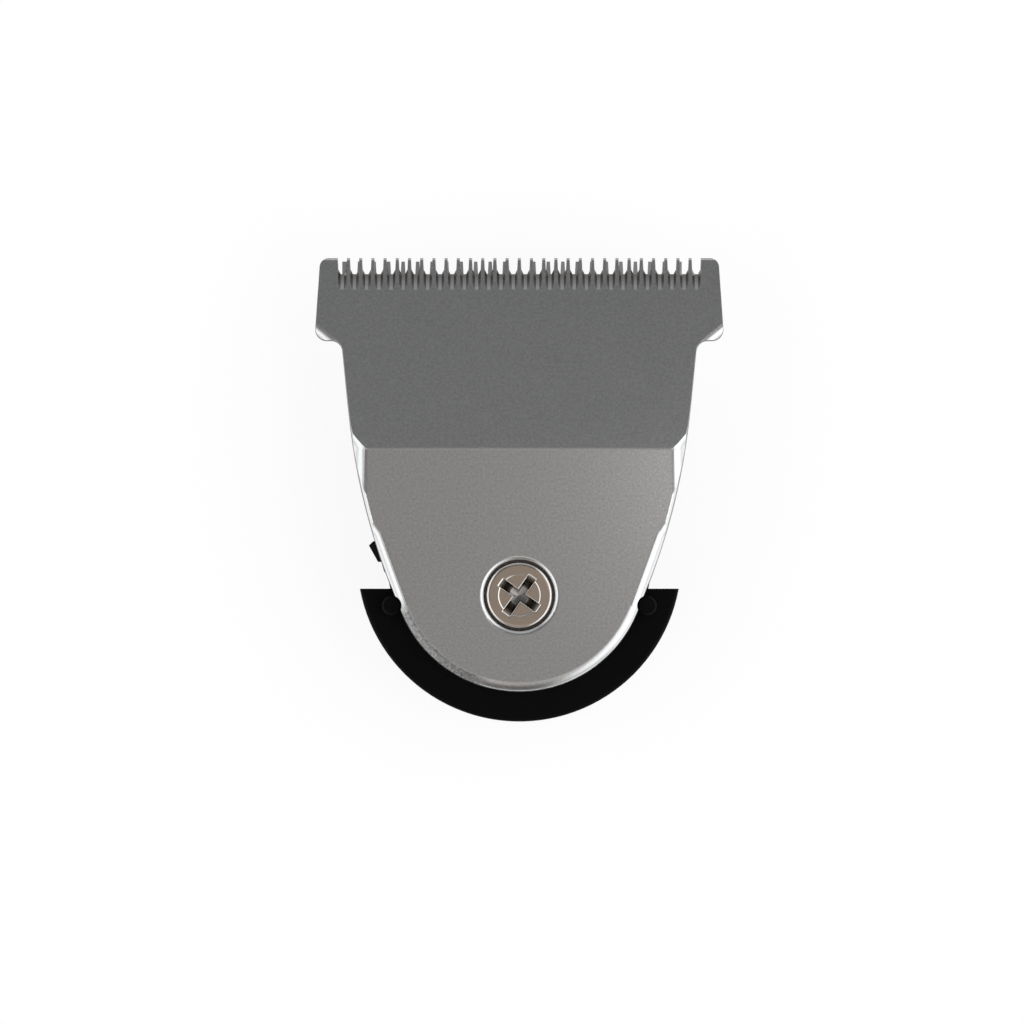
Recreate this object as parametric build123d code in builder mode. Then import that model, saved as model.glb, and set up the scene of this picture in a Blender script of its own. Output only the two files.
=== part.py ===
"""Clip-on blade set of a hair trimmer: comb plate, cutter, drive slider, carrier, spring and screw.

Millimetres. X runs across the blade, +Y points to the teeth and +Z up. The set lies on its back, as it
does on a bench: carrier down, steel face up, Z = 0 on the surface that it lies on.
"""

import os
from math import atan, atan2, cos, radians, sin, tan

from build123d import *

# Comb plate: blanked steel, sides flared by the blanking, front ground to a bevel
plate_seat_z = 6.0
plate_thickness = 2.4
plate_flare = 0.15
plate_edge_round = 0.36
comb_front_y = 19.0
end_block_width = 1.83
ear_spread = 0.47
ear_length = 6.8
ear_overhang = 2.2
ear_front_round = 0.75
ear_rear_round = 0.95
neck_round = 0.9
neck_length = 1.6
neck_taper = 0.16
waist_length = 6.4
waist_taper = 0.85
hip_rise = 1.66
hip_spread = 1.3
tail_radius = 10.5
tail_centre_y = -6.06
tail_start_angle = -22.0
bevel_length = 15.64
tip_thickness = 0.45
tip_break = 0.14
shoulder_inset = 1.35
shoulder_roll = 1.5
shoulder_toe_out = 28.0
tail_roll = 1.05
tail_roll_inset = 0.85
tail_roll_angle = -20.0
tail_roll_lead = 6.2
tail_roll_toe_out = 14.0
ear_roll = 1.0
ear_roll_rise = 1.6
ear_roll_inset = 0.25
roll_start_angle = 5.0
roll_end_angle = 80.0
hollow_depth = 0.2
hollow_half_width = 12.0
hollow_length = 5.2
hollow_front_land = 4.4

# Comb teeth: grooves ground at a slant, so that each one runs out on the bevel
comb_pitch = 1.0
comb_teeth = 29
comb_tooth_width = 0.34
groove_corner = 0.19
groove_wall_angle = 5.0
groove_length = 2.6
groove_through_length = 1.3

# Screw and its counterbore
screw_end_distance = 7.95
screw_head_diameter = 5.44
screw_head_height = 1.55
screw_head_chamfer = 0.22
screw_head_depth = 0.12
screw_shank_diameter = 2.9
screw_point_z = 1.5
screw_point_chamfer = 0.48
screw_point_gap = 0.2
screw_thread_clearance = 0.02
counterbore_clearance = 0.16
counterbore_lip_round = 0.4
plate_hole_clearance = 0.2
cross_angle = 54.5
cross_reach = 1.9
cross_width = 0.74
cross_floor_reach = 0.78
cross_floor_width = 0.42
cross_depth = 1.25
cross_dish_radius = 1.75
cross_dish_depth = 0.06

# Cutter: its stroke runs along X, and it rests to the left of the middle
stroke_half = 1.1
rest_offset = -0.6
cutter_pitch = 1.19
cutter_teeth = 24
cutter_thickness = 1.1
cutter_running_gap = 0.03
cutter_front_setback = 0.27
cutter_tip_thickness = 0.4
cutter_tip_width = 0.28
cutter_root_width = 0.46
cutter_root_corner = 0.2
cutter_gap_depth = 1.88
cutter_bevel_length = 3.53
cutter_bar_depth = 7.53
cutter_tail_half_width = 8.4
cutter_tail_length = 6.2
cutter_corner_round = 0.9
cutter_front_land = 3.73
cutter_relief_length = 5.0
cutter_relief_depth = 0.15

# Drive slider: crossbar with two pegs for the cutter, fork for the drive pin, two guided legs
peg_side_inset = 2.8
peg_rear_inset = 2.6
peg_diameter = 2.1
peg_clearance = 0.05
peg_height = 0.85
peg_chamfer = 0.2
bar_thickness = 1.65
bar_rear_margin = 0.8
bar_front_gap = 0.4
leg_inset = 0.5
leg_width = 2.3
leg_top_gap = 0.3
leg_end_gap = 1.1
leg_end_taper = 0.8
foot_setback = 1.1
foot_length = 1.7
foot_reach = 0.55
foot_taper = 0.75
foot_chamfer = 0.35
foot_drop = 0.5
foot_thickness = 1.6
fork_slot_width = 3.0
fork_prong_width = 1.7
fork_length = 2.8
fork_front_gap = 0.4
fork_floor_gap = 0.6
fork_lead_in = 0.5
slider_corner_round = 0.6

# Carrier: rim and deck under the plate, open base that plugs into the trimmer's head
rim_border = 2.8
rim_lead = 0.37
rim_end_setback = 2.41
rim_thickness = 1.8
rim_edge_round = 0.3
rim_overhang = 2.4
seat_side_gap = 0.4
base_front_gap = 1.3
base_corner_round = 2.4
base_wall = 1.5
base_edge_chamfer = 0.35
rail_width = 2.5
rail_gap = 0.1
front_beam_width = 1.7
front_beam_height = 1.5
inner_wall = 1.2
boss_wall = 1.65
boss_floor = 0.5
rib_thickness = 1.0
rib_floor_z = 1.2
rib_angles = (210, 270, 330)
guide_rib_lead = 1.6
guide_rib_width = 1.0
guide_rib_height = 0.7
guide_clearance = 0.1
nub_radius = 0.8
nub_angle = -18.0
nub_offset = 0.49
nub_height = 1.3
nub_clearance = 0.03
nub_chamfer = 0.15
hook_half_width = 3.0
hook_reach = 1.6
hook_thickness = 1.4
hook_chamfer = 0.4
snap_radius = 0.4
snap_length = 4.0
snap_inset = 4.0

# Spring: one bent wire, its crosspiece held behind the seat's front wall
wire_diameter = 0.7
spring_wall_gap = 0.3
spring_boss_gap = 0.21
spring_side_gap = 0.15
spring_rear_z = 1.75
spring_reach = 2.4
spring_bend_radius = 0.9
spring_contact_gap = 0.05
spring_slot_clearance = 0.1
keeper_x = 3.6

# Heights, from the plate down
plate_top_z = plate_seat_z + plate_thickness
bevel_angle = atan((plate_thickness - tip_thickness) / bevel_length)
cutter_top_z = plate_seat_z - cutter_running_gap
cutter_bottom_z = cutter_top_z - cutter_thickness
bar_bottom_z = cutter_bottom_z - bar_thickness
leg_top_z = plate_seat_z - leg_top_gap
rail_top_z = bar_bottom_z - rail_gap
deck_bottom_z = plate_seat_z - rim_thickness
head_top_z = plate_top_z - screw_head_depth
head_seat_z = head_top_z - screw_head_height
hole_floor_z = screw_point_z - screw_point_gap
snap_z = rail_top_z / 2
spring_front_z = bar_bottom_z - spring_contact_gap - wire_diameter / 2

# Half-widths and radii
ear_front_half_width = comb_teeth * comb_pitch / 2 + end_block_width
ear_half_width = ear_front_half_width + ear_spread
neck_half_width = ear_half_width - ear_overhang
waist_half_width = neck_half_width - waist_taper
shoulder_half_width = waist_half_width - shoulder_inset
hip_half_width = tail_radius + hip_spread
groove_half_width = (comb_pitch - comb_tooth_width) / 2
counterbore_radius = screw_head_diameter / 2 + counterbore_clearance
plate_hole_radius = screw_shank_diameter / 2 + plate_hole_clearance
cutter_half_width = ((cutter_teeth - 1) * cutter_pitch + cutter_root_width) / 2
peg_x = cutter_tail_half_width - peg_side_inset
rim_radius = tail_radius + rim_border
base_half_width = rim_radius - rim_overhang
base_inner_x = base_half_width - rail_width
leg_inner_x = base_inner_x + leg_inset
leg_outer_x = leg_inner_x + leg_width
foot_front_x = leg_outer_x + foot_reach
seat_half_width = leg_inner_x - stroke_half - seat_side_gap
boss_radius = screw_shank_diameter / 2 + boss_wall
nub_x = (tail_radius + nub_offset) * cos(radians(nub_angle))
nub_y = tail_centre_y + (tail_radius + nub_offset) * sin(radians(nub_angle))
spring_half_width = seat_half_width - inner_wall - spring_side_gap - wire_diameter / 2

# Stations along Y: the front chain hangs on the tips, the rear chain on the tail's centre
ear_rear_y = comb_front_y - ear_length
ear_roll_outer_y = ear_rear_y + ear_roll_rise
neck_y = ear_rear_y - neck_length
waist_y = neck_y - waist_length
ridge_y = comb_front_y - bevel_length
groove_run_out_y = comb_front_y - groove_length
groove_through_y = comb_front_y - groove_through_length
hollow_rear_y = comb_front_y - hollow_front_land - hollow_length
cutter_front_y = comb_front_y - cutter_front_setback
cutter_root_y = cutter_front_y - cutter_gap_depth
cutter_bevel_y = cutter_front_y - cutter_bevel_length
cutter_bar_rear_y = cutter_front_y - cutter_bar_depth
cutter_tail_rear_y = cutter_bar_rear_y - cutter_tail_length
cutter_relief_rear_y = cutter_front_y - cutter_front_land - cutter_relief_length
peg_y = cutter_tail_rear_y + peg_rear_inset
bar_rear_y = cutter_tail_rear_y - bar_rear_margin
bar_front_y = cutter_bar_rear_y - bar_front_gap
base_front_y = bar_front_y - base_front_gap
fork_front_y = base_front_y - front_beam_width - fork_front_gap
snap_front_y = base_front_y - snap_inset
spring_front_y = bar_rear_y + spring_reach
hip_y = tail_centre_y + hip_rise
screw_y = tail_centre_y - tail_radius + screw_end_distance
rim_centre_y = tail_centre_y + rim_lead
rim_end_y = rim_centre_y - rim_end_setback
seat_front_y = screw_y + boss_radius + spring_boss_gap + wire_diameter + spring_wall_gap + inner_wall
seat_reach = seat_front_y - rim_end_y
wall_rear_y = seat_front_y - inner_wall
spring_rear_y = wall_rear_y - spring_wall_gap - wire_diameter / 2
guide_rib_y = seat_front_y + guide_rib_lead
leg_end_y = rim_end_y + leg_end_gap
foot_rear_y = leg_end_y + foot_setback
foot_front_y = foot_rear_y + foot_length


def bevel_z(y):
    """Height of the ground bevel over a point at y."""
    return plate_top_z - (y - ridge_y) * tan(bevel_angle)


def plate_outline(inset):
    """Outline of the comb plate, drawn in by inset everywhere but at the toothed front."""
    with BuildSketch() as outline:
        with BuildLine():
            ear = FilletPolyline(
                (0, comb_front_y),
                (ear_front_half_width - inset, comb_front_y),
                (ear_half_width - inset, ear_rear_y + inset),
                (neck_half_width - inset, ear_rear_y + inset),
                (neck_half_width - neck_taper - inset, neck_y),
                radius=[ear_front_round, ear_rear_round, neck_round],
            )
            tail = CenterArc(
                (0, tail_centre_y), tail_radius - inset, tail_start_angle, -90 - tail_start_angle
            )
            Spline(
                ear @ 1,
                (waist_half_width - inset, waist_y),
                (hip_half_width - inset, hip_y),
                tail @ 0,
                tangents=[ear % 1, tail % 0],
            )
            mirror(about=Plane.YZ)
        make_face()
    return outline.sketch


def roll_profile(radius):
    """Profile of the edge roll left by blanking: everything above an arc that falls away along +X."""
    with BuildSketch() as profile:
        with BuildLine():
            start = radians(90 - roll_start_angle)
            centre = (-radius * cos(start), -radius * sin(start))
            arc = CenterArc(centre, radius, 90 - roll_start_angle, roll_start_angle - roll_end_angle)
            Polyline(arc @ 1, ((arc @ 1).X, plate_thickness), (0, plate_thickness), arc @ 0)
        make_face()
    return profile.sketch


def roll_section(start, outward, radius):
    """The same profile in place: it starts from a point on the plate's face and falls away outwards."""
    upright = Plane(origin=start, x_dir=outward, z_dir=outward.cross(Vector(0, 0, 1)))
    with BuildSketch(upright) as section:
        add(roll_profile(radius))
    return section.sketch


def groove_profile(height):
    """Section of the wheel that grinds the comb: flat floor, eased corners, walls that open upwards."""
    top_x = groove_half_width + (height - groove_corner) * tan(radians(groove_wall_angle))
    with BuildSketch() as profile:
        with BuildLine():
            Polyline(
                (0, 0),
                (groove_half_width - groove_corner, 0),
                (groove_half_width, groove_corner),
                (top_x, height),
                (0, height),
            )
            mirror(about=Plane.YZ)
        make_face()
    return profile.sketch


def cross_outline(reach, width):
    """Cross of two bars, for the driver recess."""
    with BuildSketch() as cross:
        Rectangle(2 * reach, width)
        Rectangle(width, 2 * reach)
    return cross.sketch


def cutter_gap():
    """Gap between two cutter teeth: tapered slot with eased corners at the root."""
    root_half = (cutter_pitch - cutter_root_width) / 2
    front_half = (cutter_pitch - cutter_tip_width) / 2
    with BuildSketch() as gap:
        with BuildLine():
            Polyline(
                (0, cutter_root_y),
                (root_half - cutter_root_corner, cutter_root_y),
                (root_half, cutter_root_y + cutter_root_corner),
                (front_half, cutter_front_y),
                (0, cutter_front_y),
            )
            mirror(about=Plane.YZ)
        make_face()
    return gap.sketch


os.makedirs("parts", exist_ok=True)

# The comb plate is lofted from its foot to its narrower crown, and its crown edge is rolled over
with BuildPart() as fixed_blade:
    with BuildSketch(Plane.XY.offset(plate_seat_z)):
        add(plate_outline(0))
    with BuildSketch(Plane.XY.offset(plate_top_z)):
        add(plate_outline(plate_flare))
    loft(ruled=True)
    crown = fixed_blade.faces().sort_by(Axis.Z)[-1]
    fillet(crown.edges(), plate_edge_round)

    # The roll is wider beside the ridge, where the flat face has straight sides; it fades out on the bevel
    for side in (1, -1):
        corner = Vector(side * shoulder_half_width, ridge_y, plate_top_z)
        shoulder = roll_section(corner, Vector(side, 0, 0), shoulder_roll)
        toe_out = (side * tan(radians(shoulder_toe_out)), 1, 0)
        extrude(shoulder, amount=ridge_y - hip_y, dir=(0, -1, 0), mode=Mode.SUBTRACT)
        extrude(shoulder, amount=neck_y - ridge_y, dir=toe_out, mode=Mode.SUBTRACT)

    # It is wide again round the tail and along the hips, and runs out just ahead of them
    tail_centre = Vector(0, tail_centre_y, plate_top_z)
    for side in (1, -1):
        outward = Vector(side * cos(radians(tail_roll_angle)), sin(radians(tail_roll_angle)), 0)
        along = outward.cross(Vector(0, 0, -side))
        tangent_point = tail_centre + outward * (tail_radius - tail_roll_inset)
        flank = roll_section(tangent_point + along * tail_roll_lead, outward, tail_roll)
        run_out = along + outward * tan(radians(tail_roll_toe_out))
        extrude(flank, amount=tail_roll_lead, dir=-along, mode=Mode.SUBTRACT)
        extrude(flank, amount=tail_roll_lead, dir=run_out, mode=Mode.SUBTRACT)
    tail_section = roll_section(tangent_point, outward, tail_roll)
    tail_axis = Axis(tail_centre, (0, 0, 1))
    revolve(tail_section, axis=tail_axis, revolution_arc=180 + 2 * tail_roll_angle, mode=Mode.SUBTRACT)

    # The bevel meets the flat face in the ridge and thins the plate towards the tips
    bevel_normal = Vector(0, sin(bevel_angle), cos(bevel_angle))
    split(bisect_by=Plane(origin=(0, ridge_y, plate_top_z), z_dir=bevel_normal), keep=Keep.BOTTOM)
    tip_edge_z = bevel_z(comb_front_y) - tip_break
    split(bisect_by=Plane(origin=(0, comb_front_y, tip_edge_z), z_dir=(0, 1, 1)), keep=Keep.BOTTOM)

    # The rear corners of the ears roll over furthest
    for side in (1, -1):
        outer = Vector(side * ear_half_width, ear_roll_outer_y, bevel_z(ear_roll_outer_y))
        inner = Vector(side * (neck_half_width + ear_roll_inset), ear_rear_y, bevel_z(ear_rear_y))
        along = (inner - outer).normalized()
        start = outer - along * ear_rear_round
        corner = Plane(
            origin=start, x_dir=bevel_normal.cross(along) * side, z_dir=along * side
        )
        with BuildSketch(corner):
            add(roll_profile(ear_roll))
        extrude(amount=side * (inner - start).length, mode=Mode.SUBTRACT)

    # Comb grooves, from the run-out on the bevel to the gap that goes right through
    groove_drop = bevel_z(groove_run_out_y) - plate_seat_z
    groove_slope = atan(groove_drop / (groove_through_y - groove_run_out_y))
    groove_start_y = comb_front_y + comb_pitch
    groove_start_z = plate_seat_z - (groove_start_y - groove_through_y) * tan(groove_slope)
    groove_plane = Plane(
        origin=(0, groove_start_y, groove_start_z),
        x_dir=(1, 0, 0),
        z_dir=(0, -cos(groove_slope), sin(groove_slope)),
    )
    with BuildSketch(groove_plane):
        with GridLocations(comb_pitch, 0, comb_teeth + 1, 1):
            add(groove_profile(plate_thickness))
    groove_travel = (groove_start_y - groove_run_out_y + comb_pitch) / cos(groove_slope)
    extrude(amount=groove_travel, mode=Mode.SUBTRACT)

    # Counterbore with a rounded lip, and the notches that the carrier's nubs hold
    with Locations((0, screw_y, plate_top_z)):
        CounterBoreHole(plate_hole_radius, counterbore_radius, plate_top_z - head_seat_z)
    flat_face = fixed_blade.faces().sort_by(Axis.Z)[-1]
    fillet(flat_face.inner_wires().edges(), counterbore_lip_round)
    with BuildSketch(Plane.XY.offset(plate_seat_z)):
        with Locations((nub_x, nub_y), (-nub_x, nub_y)):
            Circle(nub_radius + nub_clearance)
    extrude(amount=plate_thickness, mode=Mode.SUBTRACT)

    # Hollow under the plate, so that the cutter bears on two narrow lands
    with BuildSketch(Plane.XY.offset(plate_seat_z)):
        with Locations((0, hollow_rear_y)):
            Rectangle(
                2 * hollow_half_width, hollow_length, align=(Align.CENTER, Align.MIN)
            )
    extrude(amount=hollow_depth, mode=Mode.SUBTRACT)
fixed_blade.part.label = "fixed_blade"
export_step(fixed_blade.part, "parts/fixed_blade.step")

# The screw's head is dished round its cross recess, and its shank holds in the carrier's boss
with BuildPart() as blade_screw:
    with BuildSketch(Plane.XY.offset(head_seat_z)):
        with Locations((0, screw_y)):
            Circle(screw_head_diameter / 2)
    extrude(amount=screw_head_height)
    chamfer(blade_screw.edges().sort_by(Axis.Z)[-1], screw_head_chamfer)
    with BuildSketch(Plane.XY.offset(head_top_z)):
        with Locations((0, screw_y)):
            Circle(cross_dish_radius)
    extrude(amount=-cross_dish_depth, mode=Mode.SUBTRACT)
    with BuildSketch(Plane.XY.offset(head_top_z)):
        with Locations(Location((0, screw_y), cross_angle)):
            add(cross_outline(cross_reach, cross_width))
    with BuildSketch(Plane.XY.offset(head_top_z - cross_depth)):
        with Locations(Location((0, screw_y), cross_angle)):
            add(cross_outline(cross_floor_reach, cross_floor_width))
    loft(ruled=True, mode=Mode.SUBTRACT)
    with BuildSketch(Plane.XY.offset(head_seat_z)):
        with Locations((0, screw_y)):
            Circle(screw_shank_diameter / 2)
    extrude(amount=screw_point_z - head_seat_z)
    chamfer(blade_screw.edges().sort_by(Axis.Z)[0], screw_point_chamfer)
blade_screw.part.label = "blade_screw"
export_step(blade_screw.part, "parts/blade_screw.step")

# The cutter is a thin steel T: toothed bar in front, tail with two peg holes behind
stroke = Plane(origin=(rest_offset, 0, 0))
with BuildPart() as moving_cutter:
    with BuildSketch(stroke.offset(cutter_bottom_z)) as cutter_shape:
        with Locations((0, cutter_front_y)):
            Rectangle(
                2 * cutter_half_width, cutter_front_y - cutter_bar_rear_y, align=(Align.CENTER, Align.MAX)
            )
        with Locations((0, cutter_tail_rear_y)):
            Rectangle(
                2 * cutter_tail_half_width,
                cutter_bar_rear_y - cutter_tail_rear_y,
                align=(Align.CENTER, Align.MIN),
            )
        fillet(cutter_shape.vertices().sort_by(Axis.Y)[:6], cutter_corner_round)
    extrude(amount=cutter_thickness)
    with BuildSketch(stroke.offset(cutter_bottom_z)):
        with GridLocations(cutter_pitch, 0, cutter_teeth - 1, 1):
            add(cutter_gap())
        with Locations((peg_x, peg_y), (-peg_x, peg_y)):
            Circle(peg_diameter / 2 + peg_clearance)
    extrude(amount=cutter_thickness, mode=Mode.SUBTRACT)

    # The underside is ground away towards the tips, and the sliding face is relieved between two lands
    grind = atan((cutter_thickness - cutter_tip_thickness) / (cutter_front_y - cutter_bevel_y))
    grind_plane = Plane(origin=(0, cutter_bevel_y, cutter_bottom_z), z_dir=(0, -sin(grind), cos(grind)))
    split(bisect_by=grind_plane, keep=Keep.TOP)
    with BuildSketch(stroke.offset(cutter_top_z)):
        with Locations((0, cutter_relief_rear_y)):
            Rectangle(
                2 * cutter_half_width, cutter_relief_length, align=(Align.CENTER, Align.MIN)
            )
    extrude(amount=-cutter_relief_depth, mode=Mode.SUBTRACT)
moving_cutter.part.label = "moving_cutter"
export_step(moving_cutter.part, "parts/moving_cutter.step")

# The slider carries the cutter on its crossbar and runs on the carrier's rails with its two legs
with BuildPart() as drive_slider:
    with BuildSketch(stroke.offset(bar_bottom_z)):
        with Locations((0, bar_rear_y)):
            Rectangle(
                leg_inner_x + leg_outer_x, bar_front_y - bar_rear_y, align=(Align.CENTER, Align.MIN)
            )
    extrude(amount=bar_thickness)
    with BuildSketch(stroke.offset(bar_bottom_z)) as leg_shape:
        with BuildLine():
            Polyline(
                (leg_inner_x, bar_front_y),
                (leg_outer_x, bar_front_y),
                (leg_outer_x, foot_front_y),
                (leg_outer_x - leg_end_taper, leg_end_y),
                (leg_inner_x, leg_end_y),
                close=True,
            )
        make_face()
        fillet(leg_shape.vertices().group_by(Axis.Y)[0], slider_corner_round)
        mirror(about=Plane.YZ)
    extrude(amount=leg_top_z - bar_bottom_z)

    # Each leg ends in a foot that reaches out to the plate's edge
    with BuildSketch(stroke.offset(leg_top_z - foot_drop)):
        with BuildLine():
            Polyline(
                (leg_inner_x, foot_front_y),
                (foot_front_x - foot_chamfer, foot_front_y),
                (foot_front_x, foot_front_y - foot_chamfer),
                (foot_front_x - foot_taper, foot_rear_y),
                (leg_inner_x, foot_rear_y),
                close=True,
            )
        make_face()
        mirror(about=Plane.YZ)
    extrude(amount=-foot_thickness)

    # Fork for the drive pin, open towards the trimmer's head
    prong_x = (fork_slot_width + fork_prong_width) / 2
    with BuildSketch(stroke.offset(bar_bottom_z)):
        with Locations((prong_x, fork_front_y), (-prong_x, fork_front_y)):
            Rectangle(fork_prong_width, fork_length, align=(Align.CENTER, Align.MAX))
    extrude(amount=fork_floor_gap - bar_bottom_z)
    prong_ends = drive_slider.edges().filter_by(Axis.Y).group_by(Axis.Z)[0]
    chamfer(prong_ends.sort_by_distance((rest_offset, fork_front_y, 0))[:2], fork_lead_in)

    # Pegs for the cutter, and the cross grooves that the carrier's guide ribs run in
    with BuildSketch(stroke.offset(cutter_bottom_z)):
        with Locations((peg_x, peg_y), (-peg_x, peg_y)):
            Circle(peg_diameter / 2)
    extrude(amount=peg_height)
    chamfer(drive_slider.faces().group_by(Axis.Z)[-1].edges(), peg_chamfer)
    with BuildSketch(stroke.offset(bar_bottom_z)):
        with Locations((0, guide_rib_y)):
            Rectangle(2 * leg_outer_x, guide_rib_width + 2 * guide_clearance)
    extrude(amount=guide_rib_height, mode=Mode.SUBTRACT)
drive_slider.part.label = "drive_slider"
export_step(drive_slider.part, "parts/drive_slider.step")


def rear_half_disc(radius):
    """The part of a disc about the rim's centre that lies behind the rim's two ends."""
    with BuildSketch() as disc:
        with Locations((0, rim_centre_y)):
            Circle(radius)
        with Locations((0, rim_end_y)):
            Rectangle(4 * radius, 4 * radius, align=(Align.CENTER, Align.MIN), mode=Mode.SUBTRACT)
    return disc.sketch


def rib_length(angle):
    """Distance from the screw boss's axis to the middle of the base wall, in a given direction."""
    reach = base_half_width - base_wall / 2
    offset_y = screw_y - rim_centre_y
    toward = offset_y * sin(radians(angle))
    return (reach**2 - offset_y**2 + toward**2) ** 0.5 - toward


# The carrier: base ring with two rails and a low front beam, deck and rim over its rear half
with BuildPart() as blade_carrier:
    with BuildSketch() as base:
        with Locations((0, rim_centre_y)):
            Circle(base_half_width)
            Rectangle(
                2 * base_half_width, base_front_y - rim_centre_y, align=(Align.CENTER, Align.MIN)
            )
        fillet(base.vertices().group_by(Axis.Y)[-1], base_corner_round)
        with Locations((0, rim_end_y)):
            Rectangle(
                2 * base_inner_x,
                base_front_y - front_beam_width - rim_end_y,
                align=(Align.CENTER, Align.MIN),
                mode=Mode.SUBTRACT,
            )
        add(rear_half_disc(base_half_width - base_wall), mode=Mode.SUBTRACT)
    extrude(amount=rail_top_z)
    chamfer(blade_carrier.faces().sort_by(Axis.Z)[0].outer_wire().edges(), base_edge_chamfer)
    with BuildSketch(Plane.XY.offset(front_beam_height)):
        with Locations((0, base_front_y)):
            Rectangle(2 * base_inner_x, 2 * front_beam_width)
    extrude(amount=rail_top_z, mode=Mode.SUBTRACT)
    with BuildSketch(Plane.XY.offset(rail_top_z)):
        add(rear_half_disc(base_half_width))
        add(rear_half_disc(base_half_width - base_wall), mode=Mode.SUBTRACT)
    extrude(amount=deck_bottom_z - rail_top_z)

    # Deck and rim, with the seat that reaches forward under the plate
    with BuildSketch(Plane.XY.offset(deck_bottom_z)):
        add(rear_half_disc(rim_radius))
    extrude(amount=rim_thickness)
    fillet(
        blade_carrier.faces().sort_by(Axis.Z)[-1].edges().filter_by(GeomType.CIRCLE), rim_edge_round
    )
    with BuildSketch(Plane.XY.offset(deck_bottom_z)):
        with Locations((0, seat_front_y)):
            Rectangle(
                2 * seat_half_width, seat_reach + rib_thickness, align=(Align.CENTER, Align.MAX)
            )
    extrude(amount=rim_thickness)

    # Walls under the seat: front wall tied to both rails, side walls, boss and its ribs
    with BuildSketch():
        with Locations((0, seat_front_y)):
            Rectangle(2 * base_inner_x, inner_wall, align=(Align.CENTER, Align.MAX))
    extrude(amount=rail_top_z)
    with BuildSketch(Plane.XY.offset(rail_top_z)):
        with Locations((0, seat_front_y)):
            Rectangle(2 * seat_half_width, inner_wall, align=(Align.CENTER, Align.MAX))
    extrude(amount=deck_bottom_z - rail_top_z)
    with BuildSketch(Plane.XY.offset(deck_bottom_z)):
        side_wall_x = seat_half_width - inner_wall / 2
        with Locations((side_wall_x, seat_front_y), (-side_wall_x, seat_front_y)):
            Rectangle(inner_wall, seat_reach, align=(Align.CENTER, Align.MAX))
        with Locations((0, screw_y)):
            for angle in rib_angles:
                Rectangle(
                    rib_length(angle), rib_thickness, rotation=angle, align=(Align.MIN, Align.CENTER)
                )
    extrude(amount=rib_floor_z - deck_bottom_z)
    with BuildSketch(Plane.XY.offset(deck_bottom_z)):
        with Locations((0, screw_y)):
            Circle(boss_radius)
    extrude(amount=hole_floor_z - boss_floor - deck_bottom_z)
    with BuildSketch(Plane.XY.offset(plate_seat_z)):
        with Locations((0, screw_y)):
            Circle(screw_shank_diameter / 2 + screw_thread_clearance)
    extrude(amount=hole_floor_z - plate_seat_z, mode=Mode.SUBTRACT)

    # Keepers over the spring's crosspiece, and slots for its two arms
    with BuildSketch(Plane.XY.offset(deck_bottom_z)):
        with Locations((keeper_x, wall_rear_y), (-keeper_x, wall_rear_y)):
            Rectangle(rib_thickness, 2 * wire_diameter, align=(Align.CENTER, Align.MAX))
    extrude(amount=spring_rear_z + wire_diameter / 2 + spring_contact_gap - deck_bottom_z)
    with BuildSketch(Plane.XY.offset(spring_rear_z - wire_diameter / 2)):
        with Locations((spring_half_width, seat_front_y), (-spring_half_width, seat_front_y)):
            Rectangle(wire_diameter + 2 * spring_slot_clearance, 2 * inner_wall)
    extrude(amount=2 * wire_diameter, mode=Mode.SUBTRACT)

    # Guide ribs on the rails, nubs that locate the plate, hook and snap ridges for the trimmer's head
    rail_x = base_half_width - rail_width / 2
    with BuildSketch(Plane.XY.offset(rail_top_z)):
        with Locations((rail_x, guide_rib_y), (-rail_x, guide_rib_y)):
            Rectangle(rail_width, guide_rib_width)
    extrude(amount=guide_rib_height)
    with BuildSketch(Plane.XY.offset(plate_seat_z)):
        with Locations((nub_x, nub_y), (-nub_x, nub_y)):
            Circle(nub_radius)
    extrude(amount=nub_height)
    chamfer(blade_carrier.edges().group_by(Axis.Z)[-1], nub_chamfer)
    hook_root_y = rim_centre_y - base_half_width
    with BuildSketch():
        with Locations((0, hook_root_y - hook_reach)):
            Rectangle(2 * hook_half_width, hook_reach + base_wall / 2, align=(Align.CENTER, Align.MIN))
    extrude(amount=hook_thickness)
    chamfer(blade_carrier.edges().filter_by(Axis.X).group_by(Axis.Y)[0], hook_chamfer)
    with BuildSketch(Plane.XZ.offset(-snap_front_y)):
        with Locations((base_half_width, snap_z), (-base_half_width, snap_z)):
            Circle(snap_radius)
    extrude(amount=snap_length)
blade_carrier.part.label = "blade_carrier"
export_step(blade_carrier.part, "parts/blade_carrier.step")

# The spring's crosspiece and arms are bent in one slanting plane, and the arms' ends lift the slider
spring_rise = atan2(spring_front_z - spring_rear_z, spring_front_y - spring_rear_y)
spring_plane = Plane(
    origin=(0, spring_rear_y, spring_rear_z),
    x_dir=(1, 0, 0),
    z_dir=(0, -sin(spring_rise), cos(spring_rise)),
)
arm_length = (spring_front_y - spring_rear_y) / cos(spring_rise)
with BuildPart() as tension_spring:
    with BuildLine(spring_plane) as wire_path:
        FilletPolyline(
            (spring_half_width, arm_length),
            (spring_half_width, 0),
            (-spring_half_width, 0),
            (-spring_half_width, arm_length),
            radius=spring_bend_radius,
        )
    with BuildSketch(Plane(origin=wire_path.wire() @ 0, z_dir=wire_path.wire() % 0)):
        Circle(wire_diameter / 2)
    sweep()
tension_spring.part.label = "tension_spring"
export_step(tension_spring.part, "parts/tension_spring.step")
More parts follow.
